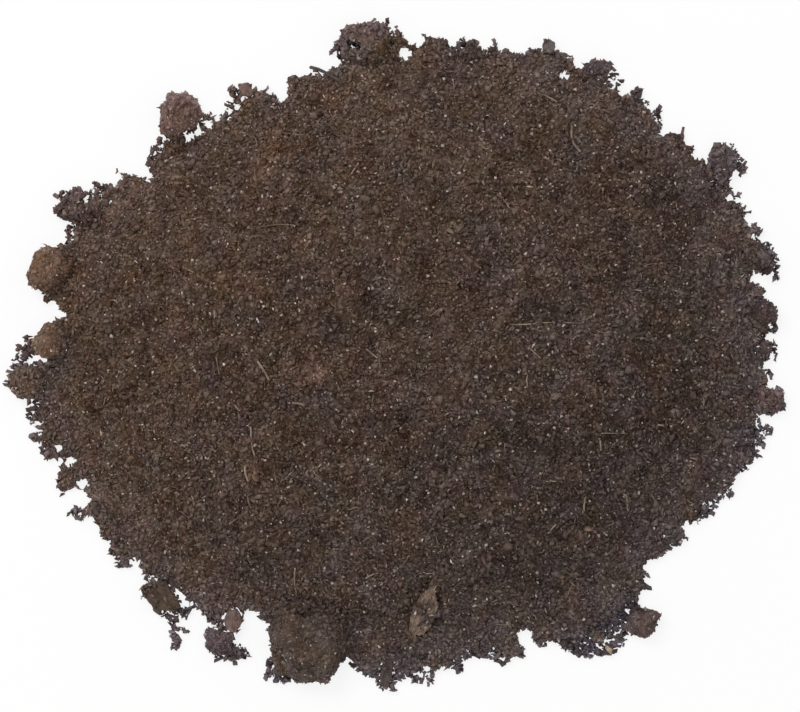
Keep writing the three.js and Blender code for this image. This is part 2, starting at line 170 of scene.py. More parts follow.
OPEN_HEIGHT = 0.3 * MM  # and its least height, so that the foot stays bare
LEAST_AREA = 1e-12  # to divide by, for a face without any

# Sprays of flakes that have run out from the rim: some anywhere, some at places in the photograph
SPRAYS = 480
SPUR_PITCH = 7 * MM  # of the stretches of rim where flakes stand out, with bays between
BAY = -0.08  # below this there are no flakes
SPUR_RUN = 0.5  # how far a spur keeps its sprays from ending
RIM_HEIGHT = 4 * MM  # below which the bed counts as rim
CLUMPS = 170
CLUMP_FLAKES = (5, 16)
CLUMP_REACH = (1 * MM, 2.4 * MM)
CLUMP_OUTSIDE = (-1.5 * MM, 2 * MM)  # from the rim
COAT_FLAKES = 0.24  # to a square millimetre of a ragged clod
COAT_SIZE = (1.3 * MM, 2.3 * MM, 4 * MM)
RAGGED_CLODS = [
    "far_left_clod", "left_corner_clod", "top_clod", "spiky_clod", "hook_clod", "spur_clod",
    "lower_left_clod",
]
FLAKE_SIZE = (1.2 * MM, 3.8 * MM)
FLAKE_STRETCH = (1.9, 0.4)
CROWDED_SIZE = 0.8  # of that, in clumps and placed sprays
FLAKE_TOUCH = 0.42  # of its breadth, from a flake's middle to where it touches another
SPRAY_INSIDE = 0.6  # of a flake's breadth, from the rim to where a spray starts
SPRAY_STEP = 0.55  # of a flake's breadth, so that each rests against the last
SPRAY_FAN = math.radians(45)
SPRAY_WANDER = math.radians(45)
SPRAY_GROWTH = (0.75, 1.1)  # from a flake to the next
SPRAY_END = 0.4  # chance that a spray ends at a flake
SPRAY_TAPER = 0.5  # how much narrower a placed spray ends
FLOOR_LIFT = 0.3  # of a flake's breadth, from the floor to the middle of one that lies on it
LANE = 1.8 * MM  # of a broad spray
# Pixels where a spray starts and ends, and its breadth in millimetres, in one row
PLACED_SPRAYS = [
    # Left
    (165, 140, 153, 165, 5), (156, 148, 148, 164, 4), (92, 192, 60, 191, 2.5), (112, 189, 92, 190, 3),
    (72, 198, 55, 198, 3.5), (112, 198, 112, 206, 4), (88, 222, 80, 232, 4), (80, 226, 68, 242, 4),
    (72, 215, 68, 235, 3), (52, 348, 18, 350, 3.5), (30, 347, 28, 334, 2), (44, 352, 24, 338, 2.5),
    (36, 352, 24, 358, 4), (40, 366, 12, 366, 3), (24, 356, 8, 386, 3), (62, 372, 38, 374, 3),
    (20, 345, 14, 362, 2), (38, 396, 28, 416, 3), (40, 405, 33, 420, 3.5), (42, 435, 33, 437, 3),
    (47, 442, 31, 438, 3), (46, 455, 40, 446, 3), (62, 470, 60, 488, 4), (84, 494, 69, 487, 3.5),
    (85, 505, 72, 514, 3), (80, 514, 68, 511, 2.5), (82, 518, 74, 518, 3), (160, 590, 140, 597, 1.8),
    (152, 568, 146, 579, 4),
    # Top
    (240, 100, 232, 88, 4), (240, 96, 228, 88, 3), (238, 104, 226, 106, 3), (268, 100, 262, 92, 2.5),
    (345, 60, 336, 42, 4), (346, 52, 333, 48, 4), (356, 50, 350, 30, 1.6), (376, 34, 374, 17, 1.6),
    (386, 36, 387, 20, 1.6), (392, 40, 398, 32, 4), (435, 40, 436, 30, 2.5), (462, 45, 464, 37, 2),
    (546, 58, 558, 54, 5),
    # Right
    (610, 70, 617, 80, 2.5), (605, 78, 617, 74, 3), (602, 84, 612, 84, 4), (632, 94, 640, 89, 3),
    (634, 104, 636, 90, 5), (640, 95, 646, 90, 2.5), (636, 100, 649, 105, 3), (654, 118, 657, 106, 3),
    (675, 140, 685, 133, 3), (735, 156, 731, 143, 1.2), (735, 152, 741, 176, 4), (738, 158, 745, 173, 3),
    (724, 188, 733, 192, 4), (730, 198, 743, 193, 2), (728, 206, 745, 208, 4), (752, 228, 760, 235, 3),
    (750, 238, 768, 246, 2), (766, 245, 777, 260, 3), (774, 258, 776, 281, 3.5), (771, 316, 774, 332, 3),
    (772, 344, 776, 357, 2.5), (766, 368, 773, 378, 2.5), (775, 400, 786, 405, 3), (770, 413, 783, 407, 2),
    (765, 425, 772, 432, 3), (756, 424, 770, 434, 4), (757, 430, 762, 444, 3), (750, 440, 763, 442, 4),
    (752, 450, 760, 458, 3), (752, 455, 742, 470, 3), (732, 490, 715, 500, 3), (712, 500, 700, 512, 4),
    (700, 520, 716, 506, 3), (703, 510, 690, 522, 3), (678, 540, 688, 541, 5),
    # Bottom
    (604, 630, 626, 626, 4), (606, 640, 625, 630, 6), (600, 630, 575, 655, 6), (625, 640, 600, 656, 6),
    (585, 645, 612, 650, 6), (575, 652, 592, 656, 3), (480, 650, 500, 660, 5), (490, 648, 503, 656, 4),
    (512, 636, 514, 645, 7), (462, 652, 455, 670, 6), (455, 660, 463, 670, 3), (428, 672, 433, 692, 4),
    (411, 676, 424, 681, 3), (394, 662, 393, 690, 3), (365, 648, 372, 668, 12), (352, 664, 371, 674, 4),
    (345, 650, 352, 668, 3), (340, 672, 346, 652, 3), (334, 678, 344, 664, 4), (290, 672, 281, 683, 3),
    (304, 668, 278, 677, 2.5), (284, 678, 266, 672, 5), (272, 676, 270, 657, 5), (240, 645, 250, 656, 2),
    (238, 648, 245, 656, 3), (230, 655, 236, 663, 3), (215, 655, 222, 659, 3), (215, 615, 222, 640, 4),
    (216, 620, 227, 631, 2.5), (226, 656, 240, 657, 3), (203, 600, 209, 617, 3), (205, 596, 186, 600, 2.5),
    (186, 612, 190, 605, 3), (164, 606, 189, 616, 5), (168, 604, 178, 648, 4), (180, 628, 192, 632, 2),
    (168, 612, 160, 615, 2.5), (176, 636, 171, 649, 2.5), (176, 636, 181, 646, 2),
]

# Bites out of the rim and gaps through the thin layer inside it, where the floor shows
BITES = 260  # tried, and left out on spurs
BITE_SIZE = (1.8 * MM, 4.2 * MM)
BITE_INSIDE = (-1 * MM, 2 * MM)  # from the rim
GAPS = 110
GAP_SIZE = (1.6 * MM, 3.2 * MM)
GAP_INSIDE = (2 * MM, 7 * MM)
GAP_TURN = 4  # degrees to either side, of which the furthest rim counts
GAP_HEIGHT = 40 * MM
GAP_SIDES = 11
GAP_JAGGEDNESS = 0.12
GAP_BREADTH = 0.9  # of its length
GAP_RAGGEDNESS = 0.5  # how far the crumbs at its edge stray, of its half breadth
GAP_CLEAR = 0.85  # of its half breadth, the middle of that
GAP_RAGGED_PITCH = 2 * MM
GAP_SHIFT = 30  # each noise has its own shift, so that no two run alike
GAP_EDGE = 1 * MM  # height of the bed where it meets a gap
GAP_DEPTH = 3 * MM  # crumbs that lie lower than this are kept out of it
# Pixels of gaps and bays in the photograph, and their breadths in millimetres
PLACED_GAPS = [
    # Left
    (149, 177, 4.4), (142, 166, 8), (128, 163, 10), (118, 179, 5), (87, 199, 4), (70, 223, 3), (36, 311, 7),
    (50, 312, 9), (61, 315, 4.5), (43, 327, 6), (42, 358, 5), (61, 362, 3.4), (58, 373, 3), (67, 399, 3.4),
    (38, 424, 5), (24, 432, 5), (57, 448, 4), (74, 450, 3), (71, 462, 4.5), (56, 464, 5), (83, 484, 5),
    (72, 495, 7), (82, 500, 7), (96, 510, 3.5), (88, 522, 6), (94, 530, 4), (90, 537, 4), (106, 546, 6),
    (123, 544, 3), (110, 562, 4), (122, 570, 5), (134, 566, 7),
    # Top
    (190, 138, 4.4), (199, 131, 4.8), (209, 124, 4.8), (216, 116, 4.6), (222, 110, 5), (237, 107, 3.5),
    (230, 114, 4), (228, 118, 3), (272, 76, 6), (272, 88, 5), (279, 84, 8), (280, 95, 6), (287, 70, 6),
    (296, 71, 5), (336, 63, 5), (324, 60, 6), (313, 56, 6), (312, 71, 3), (354, 48, 3), (408, 34, 5),
    (416, 40, 7), (406, 54, 5.5), (446, 32, 6.5), (454, 44, 4), (473, 32, 6), (487, 47, 5), (500, 46, 5),
    (512, 48, 5), (523, 47, 6), (535, 44, 6), (527, 60, 3.4), (545, 45, 3.5), (570, 50, 5), (577, 58, 3.5),
    (565, 75, 4.5), (583, 62, 8),
    # Right
    (622, 92, 4), (645, 90, 3), (672, 122, 10), (663, 132, 4), (690, 138, 6), (697, 153, 4.5),
    (704, 140, 5), (714, 180, 3), (728, 197, 4), (745, 198, 4), (750, 219, 6), (756, 277, 5.5),
    (764, 282, 4.5), (770, 292, 5), (774, 303, 3.5), (768, 338, 5), (775, 338, 4), (767, 364, 4.5),
    (775, 363, 4), (769, 386, 3.5), (762, 417, 4.5), (769, 420, 4), (739, 488, 6), (672, 556, 6),
    (664, 566, 9), (650, 566, 6), (652, 582, 8), (645, 594, 5),
    # Bottom
    (627, 612, 3.6), (576, 670, 5), (566, 660, 9), (550, 659, 14), (531, 650, 8), (515, 666, 8),
    (525, 636, 7), (471, 634, 2.6), (426, 658, 3), (406, 682, 4), (347, 660, 4.5), (252, 616, 7),
    (249, 627, 5), (262, 626, 7), (264, 636, 5), (268, 640, 5), (172, 582, 3), (178, 593, 3.5),
    (196, 593, 2.6), (186, 603, 3.5), (199, 600, 4), (195, 612, 4),
]

# Holes through clods: pixels and breadths in millimetres
CLOD_HOLES = {
    "left_corner_clod": [(86, 201, 3), (90, 197, 3)],
    "top_clod": [(350, 46, 4.2), (356, 48, 4)],
}

# Root fibres along pixels of the photograph, by their radius, and thinner ones strewn between
PLACED_FIBRES = {
    0.45 * MM: [
        [(571, 125), (570, 135), (571, 143), (575, 149), (579, 153)],
        [(261, 361), (267, 369), (272, 379)], [(248, 464), (247, 471), (251, 479)],
        [(295, 402), (300, 401), (307, 404)],
    ],
    0.3 * MM: [
        [(543, 96), (549, 99), (556, 103)], [(404, 156), (406, 161), (405, 170)],
        [(296, 566), (294, 580), (297, 592)], [(254, 425), (254, 439), (257, 452), (260, 461)],
        [(250, 494), (251, 501), (253, 506)], [(250, 509), (241, 515), (231, 522)],
        [(583, 495), (581, 502), (582, 509)], [(597, 439), (598, 449)], [(554, 522), (546, 531)],
        [(366, 576), (372, 571), (379, 570)], [(352, 177), (359, 166)], [(367, 349), (378, 358)],
        [(689, 457), (696, 459)], [(655, 424), (663, 425)], [(569, 580), (574, 585)],
    ],
    0.22 * MM: [
        [(246, 238), (255, 231), (268, 228), (287, 226), (297, 228)], [(249, 104), (256, 114)],
        [(281, 134), (292, 135), (303, 137)], [(332, 134), (340, 138)], [(588, 113), (598, 102)],
        [(453, 81), (454, 90)], [(507, 325), (521, 326), (546, 322), (578, 324)],
        [(525, 347), (537, 358)], [(598, 432), (622, 432)], [(625, 495), (626, 509)],
        [(521, 597), (526, 588)], [(285, 478), (296, 468)], [(276, 456), (278, 478)],
        [(178, 484), (154, 492)], [(220, 358), (223, 374)],
    ],
}
FIBRES = 140
FIBRE_LENGTH = (2.5 * MM, 7 * MM)
FIBRE_RADIUS = 0.16 * MM
FIBRE_SPREAD = (0.7, 1.4)  # of that radius
FIBRE_POINTS = 5
FIBRE_ORDER = 3
FIBRE_WANDER = 0.35
FIBRE_LIFT = 3  # of its radius

# Peat colours as red, green and blue of 255
OLIVE_BROWN = (97, 82, 70)
PURPLE_BROWN = (97, 79, 73)
PATCH_PITCH = 9 * MM  # of the olive and purple patches
PATCH_MIXING = 0.35  # how far a crumb strays from its patch
SHADE_SPREAD = 8  # how far it strays in lightness
PATCH_SHADES = [(4.5 * MM, 19), (12 * MM, 10), (40 * MM, 8)]  # pitch of patches, and how far they stray
SHADE_SHIFT = 9
BED_PAINTED_SHADE = -18  # what shows between the crumbs, painted darker as painted shade in the pits between them
RIM_PAINTED_LIGHT = (22, 25, 31)  # how much paler and cooler the crumbs low on the thin layer at the rim are painted, as painted light from the white floor's bounce and glare
RIM_PAINTED_LIGHT_HEIGHT = 3.5 * MM  # where that has faded
DARK_SHARE = 0.15
DARKER = (-24, -25, -26)
GRIT_COLOUR = (112, 100, 91)
GRIT_SPREAD = 29  # how far a grain may be paler, on average
GRIT_PALEST = 80
RUST_SHARE = 0.03
RUST_FROM = 0.5  # draw from which on crumbs are rusty: the lowest are dark, the highest pale
RUSTIER = (9, 2, -1)
PALE_SHARE = 0.07  # of the small crumbs
CLOD_PALE_SHARE = PALE_SHARE / 3
PALE_LARGEST = 1.5 * MM
PALER = 14  # least, for a pale crumb
PALE_SPREAD = 34  # further, on average
SLIVER_PALE_SHARE = 0.2
WARMER = (5, 1, -4)  # towards the warm side of the heap
WARM_SIDE = (-0.75, 0.66)
WARM_REACH = 150 * MM
WARM_PITCH = 11 * MM
WARM_SHIFT = 20
WARM_PATCH = (5, 0, -6)  # towards warm patches
# Tints of spots on the heap, with their pixels and how far they reach in millimetres
RUST_TINT = (6, 1, -2)
DARK_TINT = (-4, -4, -4)
PALE_TINT = (30, 25, 22)
SPOTS = {
    RUST_TINT: [
        (40, 276, 5), (470, 170, 3), (330, 98, 4), (85, 280, 9), (308, 372, 8), (270, 158, 9),
        (250, 288, 7), (190, 328, 7), (260, 468, 6),
    ],
    DARK_TINT: [
        (650, 390, 22), (530, 480, 20), (410, 460, 14), (180, 380, 12), (600, 170, 14), (650, 240, 16),
        (402, 505, 5),
    ],
    PALE_TINT: [
        (519, 172, 3), (268, 176, 2.5), (290, 179, 2.5), (308, 243, 3), (320, 376, 3.4), (319, 377, 3),
        (463, 391, 3), (691, 463, 2.6), (479, 147, 2.6), (256, 472, 2.6), (143, 524, 2.6),
    ],
}
TINT_LIMITS = (10, 235)
FLAKE_SHADE = (-7, -6, 0)  # how flakes on the floor differ from the heap's crumbs
# Clods, and how far the colour of each differs from the heap's
CLODS = {
    "large_clod": (13, 15, 15), "upper_left_clod": (38, 34, 39), "left_clod": (31, 26, 22),
    "far_left_clod": (30, 30, 28), "left_corner_clod": (10, 12, 17), "top_clod": (28, 29, 33),
    "upper_right_clod": (6, 10, 22), "spiky_clod": (11, 14, 20), "hook_clod": (0, 0, 0),
    "right_clod": (-1, 0, 4), "small_right_clod": (6, 5, 7), "spur_clod": (22, 16, 16),
    "lower_right_clod": (18, 16, 18), "lower_small_clod": (2, 4, 9), "lower_left_clod": (16, 17, 24),
    "fibrous_clod": (27, 25, 24),
}

# Dark, middle and light colours of bark, by slot or for one chip, and of root fibres
DAMP_BARK = ((58, 50, 50), (78, 67, 64), (100, 87, 82))
CHIP_COLOURS = {
    "bark": ((84, 69, 59), (126, 107, 92), (164, 144, 125)),
    "dark_chip": ((60, 48, 44), (82, 67, 56), (104, 87, 71)),
    "rust_chip": ((78, 63, 61), (112, 91, 86), (146, 117, 106)),
    "pale_chip": ((98, 82, 68), (140, 120, 98), (172, 152, 128)),
    "surface_chip": ((70, 54, 48), (98, 78, 69), (128, 104, 92)),
    "slat_chip": DAMP_BARK,
    "block_chip": ((78, 69, 69), (104, 93, 92), (126, 113, 110)),
    "twig": DAMP_BARK,
}
FIBRE_COLOURS = ((100, 84, 71), (136, 117, 100), (176, 157, 138))

# Finishes
SHEEN = 0.25
PEAT_ROUGHNESS = 0.92
MOTTLE_PITCH = 1.4 * MM
MOTTLE_POSITIONS = (0.34, 0.68)
MOTTLE_SHADES = ((0.7, 0.68, 0.66), (1.32, 1.3, 1.28))  # that a tint is multiplied by
BED_GRAIN = 0.6 * MM
BED_BUMP = (0.5, 0.4 * MM)  # strength and depth
BARK_ROUGHNESS = 0.8
BARK_BUMP = (0.4, 0.3 * MM)
BARK_POSITIONS = (0.32, 0.5, 0.7)  # of its three colours
STREAK_STRETCH = (0.2, 1, 1)
STREAKS = (1.1, 5, 0.65)  # scale to a millimetre, detail and roughness
BLOTCHES = (0.6, 4)  # scale to a millimetre and detail
BLOTCH_SHARE = 0.45  # of blotches against streaks
FIBRE_ROUGHNESS = 0.85
FIBRE_POSITIONS = (0.35, 0.5, 0.68)
FIBRE_MOTTLE = (1 / (6 * MM), 4)

rng = np.random.default_rng(SEED)
NO_COVER = BVHTree.FromPolygons([], [])
UP = Vector((0, 0, 1))


def paint(colour):
    """A colour of 255 as the shader's linear values."""
    share = np.asarray(colour, float) / 255
    return np.where(share <= 0.04045, share / 12.92, ((share + 0.055) / 1.055) ** 2.4)


def on_floor(pixel):
    """The place on the floor that a pixel of the photograph shows."""
    return Vector(((pixel[0] - HEAP_MIDDLE[0]) * PIXEL, (HEAP_MIDDLE[1] - pixel[1]) * PIXEL, 0))


def distance_from(places, pixel):
    """How far places lie from that of a pixel, seen from above."""
    return np.linalg.norm(places[:, :2] - np.array(on_floor(pixel))[:2], axis=1)


def add_object(name, data):
    piece = bpy.data.objects.new(name, data)
    bpy.context.collection.objects.link(piece)
    return piece


def select_only(piece):
    bpy.ops.object.select_all(action="DESELECT")
    piece.select_set(True)
    bpy.context.view_layer.objects.active = piece


@contextmanager
def editing(piece):
    """Edit mode, on one piece alone."""
    select_only(piece)
    bpy.ops.object.mode_set(mode="EDIT")
    yield
    bpy.ops.object.mode_set(mode="OBJECT")


def unselect(piece, mode):
    """Leaves no corner or face of a piece selected."""
    with editing(piece):
        bpy.ops.mesh.select_mode(type=mode)
        bpy.ops.mesh.select_all(action="DESELECT")


def apply_modifiers(piece):
    select_only(piece)
    for modifier in list(piece.modifiers):
        bpy.ops.object.modifier_apply(modifier=modifier.name)


def corners_of(mesh):
    corners = np.empty(len(mesh.vertices) * 3, np.float32)
    mesh.vertices.foreach_get("co", corners)
    return corners.reshape(-1, 3)


def move_corners(mesh, corners):
    """Puts a mesh's corners at new places, and none below the floor."""
    corners[:, 2] = np.maximum(corners[:, 2], 0)
    mesh.vertices.foreach_set("co", corners.astype(np.float32).ravel())
    mesh.update()


def triangles_of(mesh):
    mesh.calc_loop_triangles()
    triangles = np.empty(len(mesh.loop_triangles) * 3, np.int32)
    mesh.loop_triangles.foreach_get("vertices", triangles)
    return triangles.reshape(-1, 3)


# Surfaces that stand for the solids


def slot_of(node):
    return next(part["material_slot"] for part in frame["record"]["subparts"] if part["node"] == node)


def node_of(piece):
    return piece.name.removesuffix(SURFACE)


def even_copy(node, facet, gaps=None):
    """A copy of a solid with even facets and without what lies in gaps, which is shown in its place."""
    piece = add_object(node + SURFACE, frame["nodes"][node].data.copy())
    piece.data.materials.clear()
    with editing(piece):
        bpy.ops.mesh.select_all(action="SELECT")
        bpy.ops.mesh.remove_doubles(threshold=WELD)
    if gaps:
        cut = piece.modifiers.new("gaps", "BOOLEAN")
        cut.object = gaps
        cut.solver = "EXACT"
        cut.use_self = True
    even = piece.modifiers.new("even_facets", "REMESH")
    even.mode = "VOXEL"
    even.voxel_size = facet
    apply_modifiers(piece)
    if gaps:
        bpy.data.objects.remove(gaps)
    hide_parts(node)
    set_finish(piece, slot_of(node))
    return piece


def add_relief(piece, facet, reliefs):
    """Moves a piece's surface by textures' values, but for what lies on the floor."""
    free = piece.vertex_groups.new(name="free")
    above = FREE_ABOVE * facet
    free.add([vertex.index for vertex in piece.data.vertices if vertex.co.z > above], 1, "REPLACE")
    for kind, pitch, depth, level in reliefs:
        texture = bpy.data.textures.new(f"{piece.name}_{kind.lower()}", kind)
        texture.noise_scale = pitch
        relief = piece.modifiers.new("relief", "DISPLACE")
        relief.texture = texture
        relief.texture_coords = "LOCAL"
        relief.strength = depth
        relief.mid_level = level
        relief.vertex_group = free.name
    apply_modifiers(piece)


def level_foot(piece, facet):
    """Makes what lies on the floor one plain, level face."""
    corners = corners_of(piece.data)
    corners[corners[:, 2] < facet / 2, 2] = 0
    move_corners(piece.data, corners)
    unselect(piece, "FACE")
    for face in piece.data.polygons:
        face.select = all(corners[index, 2] == 0 for index in face.vertices)
    with editing(piece):
        bpy.ops.mesh.dissolve_limited(angle_limit=LEVEL_WITHIN)


def keep_bulk(piece):
    """Takes away what the gaps have cut off from the bulk."""
    unselect(piece, "VERT")
    highest = int(corners_of(piece.data)[:, 2].argmax())
    piece.data.vertices[highest].select = True
    with editing(piece):
        bpy.ops.mesh.select_linked()
        bpy.ops.mesh.select_all(action="INVERT")
        bpy.ops.mesh.delete(type="VERT")


def jag(piece, jaggedness, seed):
    """Moves a piece's corners by chance."""
    moves = {"offset": jaggedness, "uniform": JAG_EVENLY, "normal": JAG_OUTWARDS}
    with editing(piece):
        bpy.ops.mesh.select_all(action="SELECT")
        bpy.ops.transform.vertex_random(seed=seed, **moves)


def shape_of(piece):
    """The corners and triangles of a piece that isn't needed itself."""
    corners = corners_of(piece.data).astype(float)
    triangles = triangles_of(piece.data)
    bpy.data.objects.remove(piece)
    return corners, triangles


def gap_shape():
    """An upright block with jagged sides, 1 across."""
    bpy.ops.mesh.primitive_cylinder_add(vertices=GAP_SIDES, radius=0.5, depth=1)
    block = bpy.context.object
    jag(block, GAP_JAGGEDNESS, SEED)
    return shape_of(block)


def placed(gaps):
    """Places and breadths of gaps that are given by pixels and millimetres."""
    return [on_floor(pixel) for *pixel, _ in gaps], [breadth * MM for *_, breadth in gaps]


def gap_places(reach):
    """Places and breadths of the bites and gaps near the rim."""
    reach = np.max([np.roll(reach, turn) for turn in range(-GAP_TURN, GAP_TURN + 1)], axis=0)
    places, sizes = placed(PLACED_GAPS)
    for count, size, inside in [(BITES, BITE_SIZE, BITE_INSIDE), (GAPS, GAP_SIZE, GAP_INSIDE)]:
        for _ in range(count):
            bearing = rng.uniform(0, math.tau)
            if inside is BITE_INSIDE and spur_value(reach, bearing) > 0:
                continue
            places.append(rim_point(reach, bearing, -rng.uniform(*inside)))
            sizes.append(rng.uniform(*size))
    return places, sizes


def mesh_of_gaps(places, sizes):
    """Upright blocks that cut bites, gaps and holes."""
    form, faces = gap_shape()
    corners, triangles = [], []
    for place, size in zip(places, sizes):
        stretch = Matrix.Diagonal((size, GAP_BREADTH * size, GAP_HEIGHT, 1))
        turn = Matrix.Rotation(rng.uniform(0, math.tau), 4, "Z") @ stretch
        triangles.extend((faces + len(corners)).tolist())
        corners.extend(place + turn @ Vector(corner) for corner in form)
    mesh = bpy.data.meshes.new("gaps")
    mesh.from_pydata(corners, [], triangles)
    return add_object("gaps", mesh)


def is_open(places):
    """Which places lie in one of the placed gaps."""
    found = np.zeros(len(places), bool)
    share = GAP_CLEAR + GAP_RAGGEDNESS * patch_values(places, GAP_RAGGED_PITCH, GAP_SHIFT)
    for *pixel, breadth in PLACED_GAPS:
        found |= distance_from(places, pixel) < share * breadth / 2 * MM
    return found & (places[:, 2] < GAP_DEPTH)


def slope_to_gaps(bed):
    """Lets the bed run down to the placed gaps, at the slope that loose crumbs keep."""
    corners = corners_of(bed.data)
    for *pixel, breadth in PLACED_GAPS:
        away = np.maximum(distance_from(corners, pixel) - breadth / 2 * MM, 0)
        corners[:, 2] = np.minimum(corners[:, 2], GAP_EDGE + BANK_SLOPE * away)
    move_corners(bed.data, corners)


def make_bed():
    gaps = mesh_of_gaps(*gap_places(rim_reach(frame["nodes"]["mound"])))
    bed = even_copy("mound", BED_FACET, gaps)
    keep_bulk(bed)
    add_relief(bed, BED_FACET, BED_RELIEF)
    level_foot(bed, BED_FACET)
    return bed


def make_clod(node):
    holes = CLOD_HOLES.get(node)
    clod = even_copy(node, CLOD_FACET, holes and mesh_of_gaps(*placed(holes)))
    add_relief(clod, CLOD_FACET, CLOD_RELIEF)
    move_corners(clod.data, corners_of(clod.data))
    return clod


def bank_up(bed, clods):
    """Heaps the bed up against the clods, at the slope that loose crumbs keep."""
    corners = corners_of(bed.data)
    tops = np.concatenate([corners_of(clod.data) for clod in clods])
    tree = tree_of_points(tops * (1, 1, 0))
    for index in np.nonzero(corners[:, 2] > BED_FACET)[0]:
        x, y, z = corners[index]
        near = tree.find_range((x, y, 0), BANK_REACH)
        if near:
            heights = [BANK_SHARE * tops[found][2] - BANK_SLOPE * away for _, found, away in near]
            corners[index, 2] = max(z, max(heights))
    move_corners(bed.data, corners)


def own_axes(piece):
    """A chip's middle, and its long, wide and thin directions."""
    corners = corners_of(piece.data).astype(float)
    middle = corners.mean(axis=0)
    _, axes = np.linalg.eigh(np.cov((corners - middle).T))
    return middle, axes[:, ::-1]


def noise_at(places):
    return np.array([noise.noise(Vector(place)) for place in places])


def make_chip(node, facet, ridge):
    """A chip with ridges along its grain. It keeps its own coordinates in millimetres for its colours."""
    chip = even_copy(node, facet)
    middle, axes = own_axes(chip)
    normals = np.empty(len(chip.data.vertices) * 3, np.float32)
    chip.data.vertices.foreach_get("normal", normals)
    corners = corners_of(chip.data)
    local = (corners - middle) @ axes / MM
    grain = noise_at(local / GRAIN_PITCH)
    scales = noise_at(local / SCALE_PITCH + SCALE_SHIFT)
    moved = grain * ridge + scales * ridge * SCALE_RIDGE
    corners += normals.reshape(-1, 3) * moved[:, None]
    move_corners(chip.data, corners)
    along = chip.data.attributes.new("along_grain", "FLOAT_VECTOR", "POINT")
    along.data.foreach_set("vector", (local - local.min(axis=0)).astype(np.float32).ravel())
    return chip


# Crumbs


def crumb_shape(seed, faces, jaggedness):
    """The corners and triangles of one jagged crumb, about 1 across."""
    bpy.ops.mesh.primitive_ico_sphere_add(subdivisions=1, radius=0.5)
    crumb = bpy.context.object
    jag(crumb, jaggedness, seed)
    fewer = crumb.modifiers.new("fewer_faces", "DECIMATE")
    fewer.ratio = faces
    apply_modifiers(crumb)
    corners, triangles = shape_of(crumb)
    corners -= (corners.min(axis=0) + corners.max(axis=0)) / 2
    return corners / np.ptp(corners, axis=0).max(), triangles


def crumb_shapes(family, faces, jaggedness=JAGGEDNESS):
    """A family of crumbs of the same kind, none of them alike."""
    seeds = range(family * SHAPES + 1, (family + 1) * SHAPES + 1)
    return [crumb_shape(seed, faces, jaggedness) for seed in seeds]


def any_turns(count):
    """Turns that point every way alike, as matrices."""
    w, x, y, z = rng.normal(size=(count, 4)).T
    length = np.sqrt(w * w + x * x + y * y + z * z)
    w, x, y, z = w / length, x / length, y / length, z / length
    rows = [
        [1 - 2 * (y * y + z * z), 2 * (x * y - z * w), 2 * (x * z + y * w)],
        [2 * (x * y + z * w), 1 - 2 * (x * x + z * z), 2 * (y * z - x * w)],
        [2 * (x * z - y * w), 2 * (y * z + x * w), 1 - 2 * (x * x + y * y)],
    ]
    return np.array(rows).transpose(2, 0, 1)


def any_stretch(count, long, thin):
    stretch = np.ones((count, 3))
    stretch[:, 0] *= rng.uniform(1, long, count)
    stretch[:, 2] *= rng.uniform(thin, 1, count)
    return stretch


def crumb_sizes(count, limits):
    least, middle, most = limits
    return np.clip(middle * np.exp(rng.normal(0, SIZE_SPREAD, count)), least, most)


def patch_values(places, pitch, shift=0):
    return np.array([noise.noise(Vector(place) / pitch + Vector((shift, 0, 0))) for place in places])


def nearness(places, pixel, reach):
    """1 at a pixel's place, and fading with the distance from it."""
    return np.exp(-((distance_from(places, pixel) / reach) ** 2))


def crumb_tints(places, pale_share=0, shade=0):
    """Each crumb's colour: olive and purple browns in patches, with dark, rusty and pale ones between, and
    painted light that pales those low at the rim.
    """
    count = len(places)
    patch = np.clip(0.5 + patch_values(places, PATCH_PITCH) + rng.normal(0, PATCH_MIXING, count), 0, 1)
    tints = np.outer(patch, OLIVE_BROWN) + np.outer(1 - patch, PURPLE_BROWN)
    lightness = rng.normal(0, SHADE_SPREAD, count)
    for shift, (pitch, stray) in enumerate(PATCH_SHADES, SHADE_SHIFT):
        lightness += stray * patch_values(places, pitch, shift)
    tints += shade + lightness[:, None]
    kind = rng.random(count)
    tints[kind < DARK_SHARE] += DARKER
    tints[(kind > RUST_FROM) & (kind < RUST_FROM + RUST_SHARE)] += RUSTIER
    pale = kind > 1 - pale_share
    tints[pale] += (PALER + rng.exponential(PALE_SPREAD, pale.sum()))[:, None]
    side = np.clip(places[:, :2] @ np.array(WARM_SIDE) / WARM_REACH, -1, 1)
    tints += np.outer(side, WARMER) + np.outer(patch_values(places, WARM_PITCH, WARM_SHIFT), WARM_PATCH)
    # Painted light: crumbs low at the rim are made paler and cooler, for the white floor's bounce light and
    # glare
    tints += np.outer(np.exp(-places[:, 2] / RIM_PAINTED_LIGHT_HEIGHT), RIM_PAINTED_LIGHT)
    for tint, spots in SPOTS.items():
        for *pixel, reach in spots:
            tints += np.outer(nearness(places, pixel, reach * MM), tint)
    return paint(np.clip(tints, *TINT_LIMITS))


def set_tints(mesh, tints):
    attribute = mesh.attributes.new("tint", "FLOAT_COLOR", "POINT")
    full = np.ones((len(tints), 4), np.float32)
    full[:, :3] = tints
    attribute.data.foreach_set("color", full.ravel())


